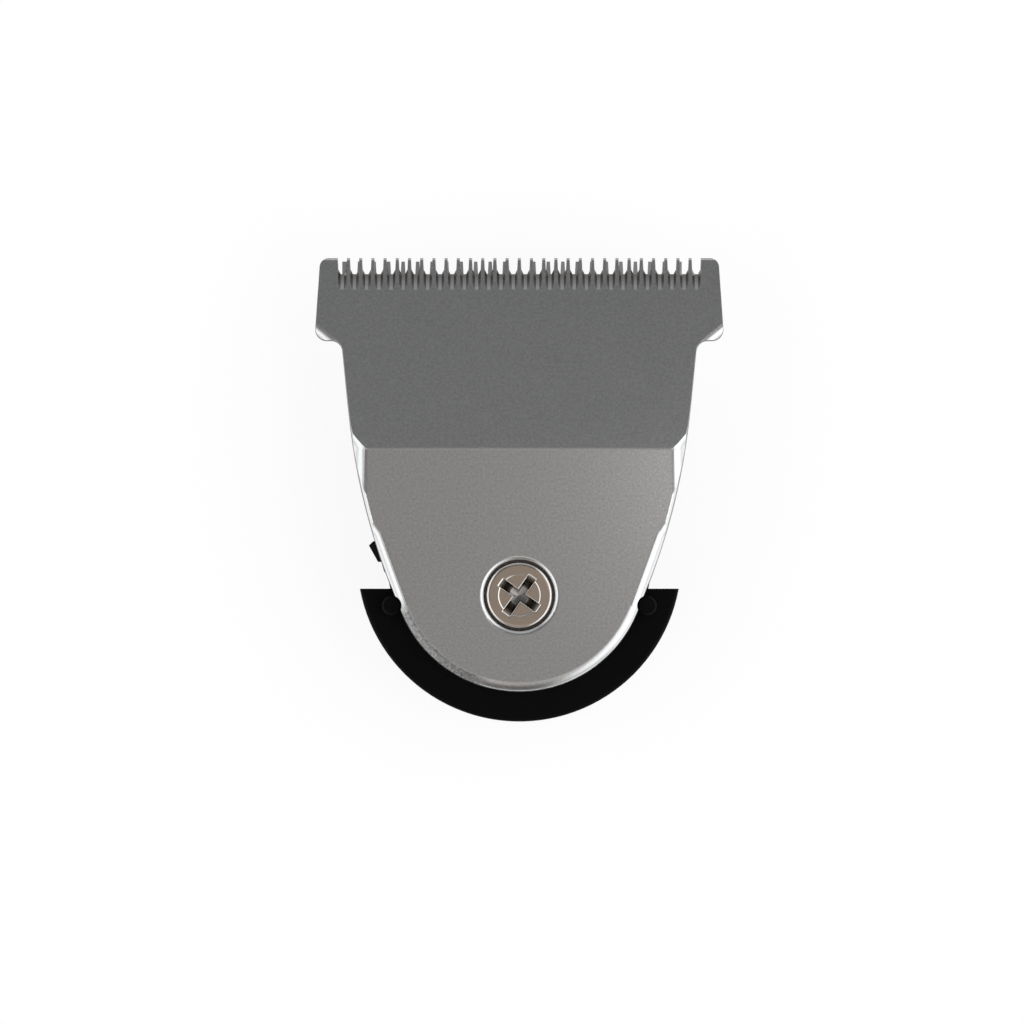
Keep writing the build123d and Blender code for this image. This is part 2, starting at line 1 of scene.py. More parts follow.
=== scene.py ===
import bpy
import numpy as np
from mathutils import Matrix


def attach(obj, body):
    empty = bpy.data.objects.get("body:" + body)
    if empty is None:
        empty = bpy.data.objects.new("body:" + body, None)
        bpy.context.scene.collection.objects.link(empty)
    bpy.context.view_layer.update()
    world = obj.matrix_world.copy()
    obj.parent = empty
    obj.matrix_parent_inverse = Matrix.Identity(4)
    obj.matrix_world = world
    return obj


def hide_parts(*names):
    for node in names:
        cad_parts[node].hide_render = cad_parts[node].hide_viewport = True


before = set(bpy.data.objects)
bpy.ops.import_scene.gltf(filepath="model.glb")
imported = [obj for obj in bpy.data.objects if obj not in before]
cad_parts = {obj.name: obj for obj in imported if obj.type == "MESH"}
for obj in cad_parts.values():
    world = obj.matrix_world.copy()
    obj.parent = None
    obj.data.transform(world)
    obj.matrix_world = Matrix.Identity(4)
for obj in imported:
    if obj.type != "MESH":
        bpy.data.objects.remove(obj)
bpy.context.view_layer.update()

mm = 0.001

# Carrier: the black moulding that holds everything and plugs into the trimmer's head.
# Injection-moulded glass-filled nylon from a spark-eroded mould, so its skin is matte and faintly
# pebbled. The comb plate lies on its deck, and its rim shows all round the plate's end.


def linear(hex_colour):
    """A colour written as sRGB hex, turned to linear light: power 2.4 above the straight toe."""
    srgb = np.array([int(hex_colour[i:i + 2], 16) for i in (1, 3, 5)]) / 255
    light = np.where(srgb <= 0.04045, srgb / 12.92, ((srgb + 0.055) / 1.055) ** 2.4)
    return (*light, 1.0)


def add_node(tree, kind, inputs=(), **settings):
    """Adds one node: settings are its attributes, inputs gives a socket a constant or an output to follow."""
    node = tree.nodes.new(kind)
    for name, value in settings.items():
        setattr(node, name, value)
    for socket, value in dict(inputs).items():
        if isinstance(value, bpy.types.NodeSocket):
            tree.links.new(value, node.inputs[socket])
        else:
            node.inputs[socket].default_value = value
    return node


def new_material(name):
    """An empty node material with its shader and output joined; returns material, tree, shader and place."""
    material = bpy.data.materials.new(name)
    material.use_nodes = True
    tree = material.node_tree
    tree.nodes.clear()
    shader = add_node(tree, "ShaderNodeBsdfPrincipled")
    add_node(tree, "ShaderNodeOutputMaterial", {"Surface": shader.outputs["BSDF"]})
    place = add_node(tree, "ShaderNodeTexCoord")
    return material, tree, shader, place


def true_copy(node, name, body):
    """A copy of a node's triangles with shared corners merged. Triangles on one plane, told by its direction
    and its distance from the origin, are shaded exactly flat; curved faces keep their own normals."""
    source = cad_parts[node].data
    points = np.empty(3 * len(source.vertices))
    source.vertices.foreach_get("co", points)
    normals = np.empty(3 * len(source.loops))
    source.corner_normals.foreach_get("vector", normals)
    corners = np.empty(len(source.loops), dtype=int)
    source.loops.foreach_get("vertex_index", corners)
    merge_step = 1e-4 * mm
    shared, place = np.unique(np.round(points.reshape(-1, 3) / merge_step), axis=0, return_inverse=True)
    triangles = place.reshape(-1)[corners].reshape(-1, 3)
    normals = normals.reshape(-1, 3, 3)
    whole = (np.diff(np.sort(triangles, axis=1), axis=1) > 0).all(axis=1)
    triangles, normals = triangles[whole], normals[whole]
    shared *= merge_step
    first, second, third = (shared[triangles[:, i]] for i in range(3))
    upright = np.cross(second - first, third - first)
    double_area = np.linalg.norm(upright, axis=1)
    upright /= np.maximum(double_area, 1e-20)[:, None]
    distance = (upright * first).sum(axis=1)
    direction_steps = 400
    plane_gap = 0.01 * mm
    least_double_area = 0.6 * mm**2
    plane = np.round(np.column_stack([upright * direction_steps, distance / plane_gap]))
    group = np.unique(plane, axis=0, return_inverse=True)[1].reshape(-1)
    flat = np.bincount(group, weights=double_area)[group] > least_double_area
    normals[flat] = upright[flat, None]
    mesh = bpy.data.meshes.new(name)
    mesh.from_pydata(shared.tolist(), [], triangles.tolist())
    mesh.shade_smooth()
    mesh.normals_split_custom_set(normals.reshape(-1, 3).tolist())
    piece = bpy.data.objects.new(name, mesh)
    bpy.context.scene.collection.objects.link(piece)
    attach(piece, body)
    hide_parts(node)
    return piece


# Moulded nylon: nearly black in the mass; the mould's eroded skin breaks up its gloss into a dull grey
# haze. The pebble is drawn coarser than the real one, which is too fine to show.
nylon_pebble = 0.16 * mm
pebble_height = 0.03 * mm
nylon_flow = 3.5 * mm
nylon_roughness = (0.38, 0.62)
nylon, tree, shader, place = new_material("moulded black nylon")
pebble = add_node(
    tree, "ShaderNodeTexNoise",
    {"Vector": place.outputs["Object"], "Scale": 1 / nylon_pebble, "Detail": 3, "Roughness": 0.6},
)
flow = add_node(
    tree, "ShaderNodeTexNoise", {"Vector": place.outputs["Object"], "Scale": 1 / nylon_flow, "Detail": 2}
)
tint = add_node(
    tree, "ShaderNodeMix",
    {"Factor": flow.outputs["Fac"], "A": linear("#030303"), "B": linear("#090909")}, data_type="RGBA",
)
dull = add_node(
    tree, "ShaderNodeMapRange",
    {"Value": pebble.outputs["Fac"], "To Min": nylon_roughness[0], "To Max": nylon_roughness[1]},
)
skin = add_node(
    tree, "ShaderNodeBump", {"Height": pebble.outputs["Fac"], "Strength": 0.35, "Distance": pebble_height}
)
tree.links.new(tint.outputs["Result"], shader.inputs["Base Color"])
tree.links.new(dull.outputs["Result"], shader.inputs["Roughness"])
tree.links.new(skin.outputs["Normal"], shader.inputs["Normal"])
shader.inputs["IOR"].default_value = 1.5
shader.inputs["Specular IOR Level"].default_value = 0.09
carrier = true_copy("blade_carrier", "carrier_moulding", "carrier_body")
carrier.data.materials.append(nylon)

# Spring: one length of hard-drawn stainless wire bent to a U, its crosspiece held behind the seat's
# front wall. The two arms slant up under the slider and press cutter and comb together.
wire_radius = 0.35 * mm
spring_half_width = 5.7 * mm
spring_rear = np.array([0, -4.95, 1.75]) * mm
spring_front = np.array([0, 6.6, 2.82]) * mm
bend_radius = 0.9 * mm
wire_sides = 20


def mesh_piece(name, points, faces, body, node):
    """A smooth-shaded mesh object from arrays of points and faces, riding on a body in place of a node."""
    mesh = bpy.data.meshes.new(name)
    mesh.from_pydata(points.tolist(), [], faces)
    mesh.shade_smooth()
    piece = bpy.data.objects.new(name, mesh)
    bpy.context.scene.collection.objects.link(piece)
    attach(piece, body)
    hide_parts(node)
    return piece


def ring_faces(rows, columns, first=0, turned_over=False):
    """Quads between rows of points that each close on themselves, then one face to close either end.
    Turned over, every face lists its corners the other way round."""
    row, column = np.meshgrid(np.arange(rows - 1), np.arange(columns), indexing="ij")
    here = first + row * columns + column
    beside = first + row * columns + (column + 1) % columns
    quads = np.stack([here, beside, beside + columns, here + columns], axis=-1).reshape(-1, 4)
    ends = np.stack([np.arange(columns)[::-1] + first, np.arange(columns) + first + (rows - 1) * columns])
    if turned_over:
        quads, ends = quads[:, ::-1], ends[:, ::-1]
    return quads.tolist() + ends.tolist()


def bent_wire(half_width, length, bend, radius, columns):
    """Round wire along a U in the plane (across, along): points at a distance s along its middle line
    are straight on the arms and the crosspiece and on a quarter circle at each bend, and every one
    carries a circle of the wire's radius, square to the line, that shrinks to a dome at both ends."""
    arm_points, bend_points, dome_rings = 12, 10, 6
    tip_angle = 0.15
    turn = np.linspace(0, np.pi / 2, bend_points)
    arm = np.linspace(length, bend, arm_points)
    corner = np.stack([half_width - bend + bend * np.cos(turn), bend - bend * np.sin(turn)], axis=1)
    half = np.concatenate([np.stack([np.full(arm_points, half_width), arm], axis=1), corner[1:]])
    middle = np.concatenate([half, (half * [-1, 1])[::-1]])
    ahead = np.gradient(middle, axis=0)
    ahead /= np.linalg.norm(ahead, axis=1, keepdims=True)
    dome = np.sin(np.linspace(tip_angle, np.pi / 2, dome_rings))
    lift = np.sqrt(1 - dome**2) * radius
    start = middle[0] + (radius - lift)[:, None] * ahead[0]
    end = middle[-1] - (radius - lift)[::-1, None] * ahead[-1]
    path = np.concatenate([start, middle[1:-1], end])
    size = np.concatenate([dome, np.ones(len(middle) - 2), dome[::-1]]) * radius
    heading = np.concatenate([
        np.repeat(ahead[:1], dome_rings, 0), ahead[1:-1], np.repeat(ahead[-1:], dome_rings, 0),
    ])
    side = np.stack([-heading[:, 1], heading[:, 0]], axis=1)
    round_about = np.linspace(0, 2 * np.pi, columns, endpoint=False)
    across = path[:, None, 0] + size[:, None] * side[:, None, 0] * np.cos(round_about)
    along = path[:, None, 1] + size[:, None] * side[:, None, 1] * np.cos(round_about)
    above = size[:, None] * np.sin(round_about) + 0 * across
    return np.stack([across, along, above], axis=-1)


slant = (spring_front - spring_rear) / np.linalg.norm(spring_front - spring_rear)
square = np.array([0, -slant[2], slant[1]])
wire = bent_wire(
    spring_half_width, np.linalg.norm(spring_front - spring_rear), bend_radius, wire_radius, wire_sides
)
wire_rows, wire_columns = wire.shape[:2]
wire_points = (
    spring_rear + wire[..., :1] * np.array([1, 0, 0]) + wire[..., 1:2] * slant + wire[..., 2:] * square
)
spring = mesh_piece(
    "spring_wire_u", wire_points.reshape(-1, 3), ring_faces(wire_rows, wire_columns),
    "carrier_body", "tension_spring",
)

# Drawn wire: bright under a thin film, with long die lines that run along the arms, drawn coarser than
# the real ones so that they show
die_line = 0.06 * mm
die_stretch = 0.06
wire_roughness = (0.2, 0.38)
drawn_wire, tree, shader, place = new_material("hard drawn stainless wire")
stretch = add_node(
    tree, "ShaderNodeMapping", {"Vector": place.outputs["Object"], "Scale": (1, die_stretch, 1)}
)
lines = add_node(
    tree, "ShaderNodeTexNoise", {"Vector": stretch.outputs["Vector"], "Scale": 1 / die_line, "Detail": 2}
)
tint = add_node(
    tree, "ShaderNodeMix",
    {"Factor": lines.outputs["Fac"], "A": linear("#9C9A97"), "B": linear("#C4C2BF")}, data_type="RGBA",
)
dull = add_node(
    tree, "ShaderNodeMapRange",
    {"Value": lines.outputs["Fac"], "To Min": wire_roughness[0], "To Max": wire_roughness[1]},
)
tree.links.new(tint.outputs["Result"], shader.inputs["Base Color"])
tree.links.new(dull.outputs["Result"], shader.inputs["Roughness"])
shader.inputs["Metallic"].default_value = 1.0
spring.data.materials.append(drawn_wire)

# Drive slider: black moulding with a fork for the drive pin; it carries the cutter on two pegs.
# Moulded acetal, a slippery plastic, so it is smoother than the carrier. It runs on the carrier's
# rails, which rub its legs to a duller grey along the stroke.

# Moulded acetal: black with a soft gloss, and faint duller streaks that run along the stroke
rub_width = 0.15 * mm
rub_stretch = 0.12
acetal_roughness = (0.26, 0.52)
acetal, tree, shader, place = new_material("moulded black acetal")
stretch = add_node(
    tree, "ShaderNodeMapping", {"Vector": place.outputs["Object"], "Scale": (rub_stretch, 1, 1)}
)
rub = add_node(
    tree, "ShaderNodeTexNoise",
    {"Vector": stretch.outputs["Vector"], "Scale": 1 / rub_width, "Detail": 3, "Roughness": 0.65},
)
tint = add_node(
    tree, "ShaderNodeMix",
    {"Factor": rub.outputs["Fac"], "A": linear("#080808"), "B": linear("#151516")}, data_type="RGBA",
)
dull = add_node(
    tree, "ShaderNodeMapRange",
    {"Value": rub.outputs["Fac"], "To Min": acetal_roughness[0], "To Max": acetal_roughness[1]},
)
tree.links.new(tint.outputs["Result"], shader.inputs["Base Color"])
tree.links.new(dull.outputs["Result"], shader.inputs["Roughness"])
shader.inputs["IOR"].default_value = 1.48
shader.inputs["Specular IOR Level"].default_value = 0.25
slider = true_copy("drive_slider", "slider_moulding", "cutter_body")
slider.data.materials.append(acetal)

# Cutter: thin hardened steel, its teeth at a wider pitch than the comb's, lying against the comb's back.
# Blanked, then ground on both faces, which leaves fine straight lines along the teeth; it sits on the
# slider's pegs and slides with it.

# Ground steel: bright grey, its shine drawn out by the wheel's lines, which are drawn coarser than the
# real ones so that they show
grind_line = 0.09 * mm
grind_depth = 0.02 * mm
grind_stretch = 0.03
ground_roughness = (0.2, 0.36)
ground_steel, tree, shader, place = new_material("ground cutter steel")
stretch = add_node(
    tree, "ShaderNodeMapping", {"Vector": place.outputs["Object"], "Scale": (1, grind_stretch, 1)}
)
lines = add_node(
    tree, "ShaderNodeTexNoise", {"Vector": stretch.outputs["Vector"], "Scale": 1 / grind_line, "Detail": 3}
)
tint = add_node(
    tree, "ShaderNodeMix",
    {"Factor": lines.outputs["Fac"], "A": linear("#A3A3A4"), "B": linear("#C9C9C9")}, data_type="RGBA",
)
dull = add_node(
    tree, "ShaderNodeMapRange",
    {"Value": lines.outputs["Fac"], "To Min": ground_roughness[0], "To Max": ground_roughness[1]},
)
score = add_node(
    tree, "ShaderNodeBump", {"Height": lines.outputs["Fac"], "Strength": 0.12, "Distance": grind_depth}
)
tree.links.new(tint.outputs["Result"], shader.inputs["Base Color"])
tree.links.new(dull.outputs["Result"], shader.inputs["Roughness"])
tree.links.new(score.outputs["Normal"], shader.inputs["Normal"])
shader.inputs["Metallic"].default_value = 1.0
cutter = true_copy("moving_cutter", "cutter_plate", "cutter_body")
cutter.data.materials.append(ground_steel)

# Comb plate: stainless steel, fine-blanked, its front ground to a bevel and its teeth cut with a wheel.
# It is tumbled afterwards, which leaves an even satin and polishes its rolled edges; their brightness is a
# painted highlight.
# Its blanked sides are smoother above and torn along the foot, which carries painted shade, and it is held
# down by one screw.
plate = true_copy("fixed_blade", "comb_plate", "carrier_body")

# Tumbled steel: an even grey satin with fine specks, drawn coarser than the real ones so that they show
satin_speck = 0.2 * mm
speck_depth = 0.02 * mm
speck_contrast = (0.27, 0.73)
satin_cloud = 4 * mm
satin_roughness = (0.22, 0.28)
blanked_roughness = 0.5
rubbed_roughness = 0.42
side_facing = (0.42, 0.2)
roll_facing = (0.985, 0.96)
face_facing = 0.95
wall_lean = 0.35
foot_shade_z = (6.3 * mm, 7.3 * mm)
ridge_y = 3.36 * mm
ridge_rub = (0.13 * mm, 0.05 * mm)
bevel_slope = 0.1247
face_z = 8.4 * mm
groove_depth = (0.03 * mm, 0.14 * mm)
groove_end_y = 16.3 * mm
groove_shade_y = (16.6 * mm, 17.5 * mm)
edge_highlight_y = (-16.2 * mm, -15.0 * mm)
dark_patch_middle = (-6.9 * mm, -13.2 * mm, 0)
dark_patch_reach = (5.2 * mm, 3.8 * mm)
counterbore_axis = (0, -8.61 * mm, 0)
counterbore_radius = 3.1 * mm
counterbore_shade_z = (8.0 * mm, 7.7 * mm)
tumbled_steel, tree, shader, place = new_material("tumbled stainless steel")
specks = add_node(
    tree, "ShaderNodeTexNoise",
    {"Vector": place.outputs["Object"], "Scale": 1 / satin_speck, "Detail": 3, "Roughness": 0.6},
)
cloud = add_node(
    tree, "ShaderNodeTexNoise", {"Vector": place.outputs["Object"], "Scale": 1 / satin_cloud, "Detail": 3}
)
contrast = add_node(
    tree, "ShaderNodeMapRange",
    {"Value": specks.outputs["Fac"], "From Min": speck_contrast[0], "From Max": speck_contrast[1]},
)
face = add_node(
    tree, "ShaderNodeMix",
    {"Factor": contrast.outputs["Result"], "A": linear("#B9B9B9"), "B": linear("#D2D2D2")}, data_type="RGBA",
)
facing = add_node(tree, "ShaderNodeSeparateXYZ", {"Vector": place.outputs["Normal"]})
height = add_node(tree, "ShaderNodeSeparateXYZ", {"Vector": place.outputs["Object"]})

# Blanked sides, told by their direction: smooth above, with painted shade darkening them along the foot
lying = add_node(tree, "ShaderNodeMath", {0: facing.outputs["Z"]}, operation="ABSOLUTE")
blanked = add_node(
    tree, "ShaderNodeMapRange",
    {"Value": lying.outputs[0], "From Min": side_facing[0], "From Max": side_facing[1]},
    interpolation_type="SMOOTHSTEP",
)
foot_shade = add_node(
    tree, "ShaderNodeMapRange",
    {"Value": height.outputs["Z"], "From Min": foot_shade_z[1], "From Max": foot_shade_z[0]},
)
# painted shade: the side's colour darkens towards its foot
side = add_node(
    tree, "ShaderNodeMix",
    {"Factor": foot_shade.outputs["Result"], "A": linear("#A2A2A4"), "B": linear("#4C4B4A")}, data_type="RGBA",
)

# Rolled edges behind the teeth: painted highlight, bright except at the tail's end
turned = add_node(
    tree, "ShaderNodeMapRange",
    {"Value": lying.outputs[0], "From Min": roll_facing[0], "From Max": roll_facing[1]},
)
behind_teeth = add_node(
    tree, "ShaderNodeMath", {0: height.outputs["Y"], 1: groove_end_y}, operation="LESS_THAN"
)
rolled = add_node(
    tree, "ShaderNodeMath", {0: turned.outputs["Result"], 1: behind_teeth.outputs[0]}, operation="MULTIPLY"
)
tail_share = add_node(
    tree, "ShaderNodeMapRange",
    {"Value": height.outputs["Y"], "From Min": edge_highlight_y[0], "From Max": edge_highlight_y[1]},
)
edge_highlight = add_node(
    tree, "ShaderNodeMath", {0: rolled.outputs[0], 1: tail_share.outputs["Result"]}, operation="MULTIPLY"
)
# painted highlight: the rolled edges' colour is lifted to near white
highlighted = add_node(
    tree, "ShaderNodeMix",
    {"Factor": edge_highlight.outputs[0], "A": face.outputs["Result"], "B": linear("#F4F4F3")}, data_type="RGBA",
)
bare = add_node(
    tree, "ShaderNodeMix",
    {"Factor": blanked.outputs["Result"], "A": highlighted.outputs["Result"], "B": side.outputs["Result"]},
    data_type="RGBA",
)

# Grooves: painted shade on the walls, and painted shade below the bevel's level that grows darker towards the
# tips
leaning = add_node(tree, "ShaderNodeMath", {0: facing.outputs["X"]}, operation="ABSOLUTE")
wall = add_node(tree, "ShaderNodeMath", {0: leaning.outputs[0], 1: wall_lean}, operation="GREATER_THAN")
toothed = add_node(
    tree, "ShaderNodeMath", {0: height.outputs["Y"], 1: groove_end_y}, operation="GREATER_THAN"
)
# painted shade: groove walls darkened where the teeth are cut
wall_shade = add_node(tree, "ShaderNodeMath", {0: wall.outputs[0], 1: toothed.outputs[0]}, operation="MULTIPLY")
wall_shaded = add_node(
    tree, "ShaderNodeMix",
    {"Factor": wall_shade.outputs[0], "A": bare.outputs["Result"], "B": linear("#B6B4B2")}, data_type="RGBA",
)
from_ridge = add_node(tree, "ShaderNodeMath", {0: height.outputs["Y"], 1: ridge_y}, operation="SUBTRACT")
levelled = add_node(
    tree, "ShaderNodeMath",
    {0: from_ridge.outputs[0], 1: bevel_slope, 2: height.outputs["Z"]}, operation="MULTIPLY_ADD",
)
sunk = add_node(
    tree, "ShaderNodeMapRange",
    {
        "Value": levelled.outputs[0],
        "From Min": face_z - groove_depth[0], "From Max": face_z - groove_depth[1],
    },
)
nearing_tips = add_node(
    tree, "ShaderNodeMapRange",
    {"Value": height.outputs["Y"], "From Min": groove_shade_y[0], "From Max": groove_shade_y[1]},
)
# painted shade: darker below the bevel's level and nearer the tips
groove_shade = add_node(
    tree, "ShaderNodeMath",
    {0: sunk.outputs["Result"], 1: nearing_tips.outputs["Result"]}, operation="MULTIPLY",
)
groove_shaded = add_node(
    tree, "ShaderNodeMix",
    {"Factor": groove_shade.outputs[0], "A": wall_shaded.outputs["Result"], "B": linear("#9E9B98")}, data_type="RGBA",
)

# Ridge between flat and bevel, rubbed dull in a narrow line
near_ridge = add_node(tree, "ShaderNodeMath", {0: from_ridge.outputs[0]}, operation="ABSOLUTE")
rubbed = add_node(
    tree, "ShaderNodeMapRange",
    {"Value": near_ridge.outputs[0], "From Min": ridge_rub[0], "From Max": ridge_rub[1]},
)
upper = add_node(
    tree, "ShaderNodeMath", {0: facing.outputs["Z"], 1: face_facing}, operation="GREATER_THAN"
)
rubbed_ridge = add_node(
    tree, "ShaderNodeMath", {0: rubbed.outputs["Result"], 1: upper.outputs[0]}, operation="MULTIPLY"
)

# Painted reflection of the dark rim, in specks on the rolled edge at the left of the tail
level = add_node(
    tree, "ShaderNodeVectorMath", {0: place.outputs["Object"], 1: (1, 1, 0)}, operation="MULTIPLY"
)
from_scuff = add_node(
    tree, "ShaderNodeVectorMath", {0: level.outputs["Vector"], 1: dark_patch_middle}, operation="DISTANCE"
)
dark_patch_share = add_node(
    tree, "ShaderNodeMapRange",
    {"Value": from_scuff.outputs["Value"], "From Min": dark_patch_reach[0], "From Max": dark_patch_reach[1]},
)
patch_and_rim_reflection = add_node(
    tree, "ShaderNodeMath", {0: dark_patch_share.outputs["Result"], 1: rolled.outputs[0]}, operation="MULTIPLY"
)
# painted reflection: the dark rim mirrored in specks on the rolled edge
rim_reflection_specks = add_node(
    tree, "ShaderNodeMix",
    {"Factor": contrast.outputs["Result"], "A": linear("#6A6968"), "B": linear("#C4C3C2")}, data_type="RGBA",
)
with_rim_reflection = add_node(
    tree, "ShaderNodeMix",
    {"Factor": patch_and_rim_reflection.outputs[0], "A": groove_shaded.outputs["Result"], "B": rim_reflection_specks.outputs["Result"]},
    data_type="RGBA",
)

# Painted shade deep in the counterbore, darker with depth
reach = add_node(
    tree, "ShaderNodeVectorMath", {0: level.outputs["Vector"], 1: counterbore_axis}, operation="DISTANCE"
)
inside = add_node(
    tree, "ShaderNodeMath", {0: reach.outputs["Value"], 1: counterbore_radius}, operation="LESS_THAN"
)
deep = add_node(
    tree, "ShaderNodeMapRange",
    {"Value": height.outputs["Z"], "From Min": counterbore_shade_z[0], "From Max": counterbore_shade_z[1]},
)
depth_shade = add_node(
    tree, "ShaderNodeMath", {0: inside.outputs[0], 1: deep.outputs["Result"]}, operation="MULTIPLY"
)
# painted shade: the counterbore darkens with depth
tint = add_node(
    tree, "ShaderNodeMix",
    {"Factor": depth_shade.outputs[0], "A": with_rim_reflection.outputs["Result"], "B": linear("#76726E")}, data_type="RGBA",
)

# Roughness: slightly cloudy satin, rougher sides, and rubbed spots on the ridge and on the patch of painted
# rim reflection
satin = add_node(
    tree, "ShaderNodeMapRange",
    {"Value": cloud.outputs["Fac"], "To Min": satin_roughness[0], "To Max": satin_roughness[1]},
)
sides = add_node(
    tree, "ShaderNodeMix",
    {"Factor": blanked.outputs["Result"], "A": satin.outputs["Result"], "B": blanked_roughness},
    data_type="FLOAT",
)
rough_spots = add_node(
    tree, "ShaderNodeMath", {0: rubbed_ridge.outputs[0], 1: patch_and_rim_reflection.outputs[0]}, operation="MAXIMUM"
)
dull = add_node(
    tree, "ShaderNodeMix",
    {"Factor": rough_spots.outputs[0], "A": sides.outputs["Result"], "B": rubbed_roughness},
    data_type="FLOAT",
)
pits = add_node(
    tree, "ShaderNodeBump", {"Height": specks.outputs["Fac"], "Strength": 0.2, "Distance": speck_depth}
)
tree.links.new(tint.outputs["Result"], shader.inputs["Base Color"])
tree.links.new(dull.outputs["Result"], shader.inputs["Roughness"])
tree.links.new(pits.outputs["Normal"], shader.inputs["Normal"])
shader.inputs["Metallic"].default_value = 1.0
plate.data.materials.append(tumbled_steel)

# Screw: cross-recess machine screw, sunk just under the plate's face in its counterbore.
# Cold-headed steel with a warm nickel plate, with a painted highlight on its rounded rim and edges and
# painted shade in the recess.
# Its rolled thread holds in the carrier's boss.
screw_y = counterbore_axis[1]
head_top = 8.28 * mm
head_seat = 6.73 * mm
head_radius = 2.72 * mm
head_round = 0.3 * mm
seat_edge = 0.05 * mm
shank_radius = 1.45 * mm
point_radius = 0.97 * mm
point_z = 1.5 * mm
thread_pitch = 0.7 * mm
thread_depth = 0.32 * mm
dish_radius = 1.75 * mm
dish_depth = 0.06 * mm
dish_step = 0.11 * mm
cross_turn = np.radians(54.5)
cross_reach = np.array([1.9, 0.78]) * mm
cross_half_width = np.array([0.37, 0.21]) * mm
cross_depth = 1.25 * mm
floor_cone = 0.2 * mm
cross_burr = 0.1 * mm
face_rings = 92
rim_rings = 9
head_columns = 360
shank_rings = 110
shank_columns = 72


def cross_sink(x, y):
    """Depth of the driver recess as a share, 0 on the face and 1 on its floor: each bar of the cross
    is limited by its sloping sides and ends, whichever is nearer, and the deeper bar counts."""
    across = x * np.cos(cross_turn) + y * np.sin(cross_turn)
    along = y * np.cos(cross_turn) - x * np.sin(cross_turn)
    bars = []
    for u, v in ((np.abs(across), np.abs(along)), (np.abs(along), np.abs(across))):
        ends = (cross_reach[0] - u) / (cross_reach[0] - cross_reach[1])
        sides = (cross_half_width[0] - v) / (cross_half_width[0] - cross_half_width[1])
        bars.append(np.minimum(ends, sides))
    return np.clip(np.maximum(*bars), 0, 1)


def cross_lead_in(x, y):
    """Worn edge of the recess as a share: 0 one burr width outside the cross, 1 one burr width inside,
    the square of the share of the way between, told by the nearest straight edge of either bar."""
    across = np.abs(x * np.cos(cross_turn) + y * np.sin(cross_turn))
    along = np.abs(y * np.cos(cross_turn) - x * np.sin(cross_turn))
    one = np.minimum(cross_reach[0] - across, cross_half_width[0] - along)
    other = np.minimum(cross_reach[0] - along, cross_half_width[0] - across)
    share = np.clip((np.maximum(one, other) / cross_burr + 1) / 2, 0, 1)
    return share**2


def screw_head():
    """Rings about the screw's axis from the middle of its face outwards: the face sinks by a shallow
    dish with the recess's worn edge, or by the cross with its coned floor, whichever is deeper. A quarter
    circle rounds the rim, and a straight side leads to the underside."""
    innermost = 0.004 * mm
    inside_shank = 0.8 * shank_radius
    face_radius = np.linspace(innermost, head_radius - head_round, face_rings)
    rim = np.linspace(0, np.pi / 2, rim_rings)[1:]
    radius = np.concatenate([
        face_radius,
        head_radius - head_round + head_round * np.sin(rim),
        [head_radius, head_radius - seat_edge, inside_shank],
    ])
    level = np.concatenate([
        np.full(face_rings, head_top),
        head_top - head_round + head_round * np.cos(rim),
        [head_seat + seat_edge, head_seat, head_seat],
    ])
    angle = np.linspace(0, 2 * np.pi, head_columns, endpoint=False)
    x = radius[:, None] * np.cos(angle)
    y = radius[:, None] * np.sin(angle)
    face_x, face_y = x[:face_rings], y[:face_rings]
    dish = np.clip((dish_radius - face_radius) / dish_step, 0, 1)
    dished = dish_depth * (dish**2 * (3 - 2 * dish))[:, None] + cross_burr * cross_lead_in(face_x, face_y)
    cone = floor_cone * np.clip(1 - face_radius / cross_reach[1], 0, 1)[:, None]
    share = cross_sink(face_x, face_y)
    sink = np.zeros_like(x)
    sink[:face_rings] = np.maximum(dished, cross_depth * share + cone * (share == 1))
    return np.stack([x, screw_y + y, level[:, None] - sink], axis=-1)


def screw_shank():
    """Rings down the shank: the radius falls from the crest by a triangle wave of height over pitch
    less angle over a turn, which winds the thread, and tapers to the point."""
    flank_slope = 1.25
    crest_flat = 0.12
    level = np.linspace(head_seat, point_z, shank_rings)[:, None]
    angle = np.linspace(0, 2 * np.pi, shank_columns, endpoint=False)
    wave = np.abs((level / thread_pitch - angle / (2 * np.pi)) % 1 - 0.5) * 2
    crest = np.minimum(shank_radius, point_radius + (level - point_z))
    runout = np.clip((head_seat - level) / thread_pitch, 0, 1)
    radius = crest - thread_depth * runout * np.clip(flank_slope * wave - crest_flat, 0, 1)
    level = level + 0 * angle
    return np.stack([radius * np.cos(angle), screw_y + radius * np.sin(angle), level], axis=-1)


head = screw_head()
shank = screw_shank()
head_faces = ring_faces(*head.shape[:2], turned_over=True)
shank_faces = ring_faces(*shank.shape[:2], first=head.shape[0] * head.shape[1], turned_over=True)
screw = mesh_piece(
    "cross_screw", np.concatenate([head.reshape(-1, 3), shank.reshape(-1, 3)]), head_faces + shank_faces,
    "carrier_body", "blade_screw",
)

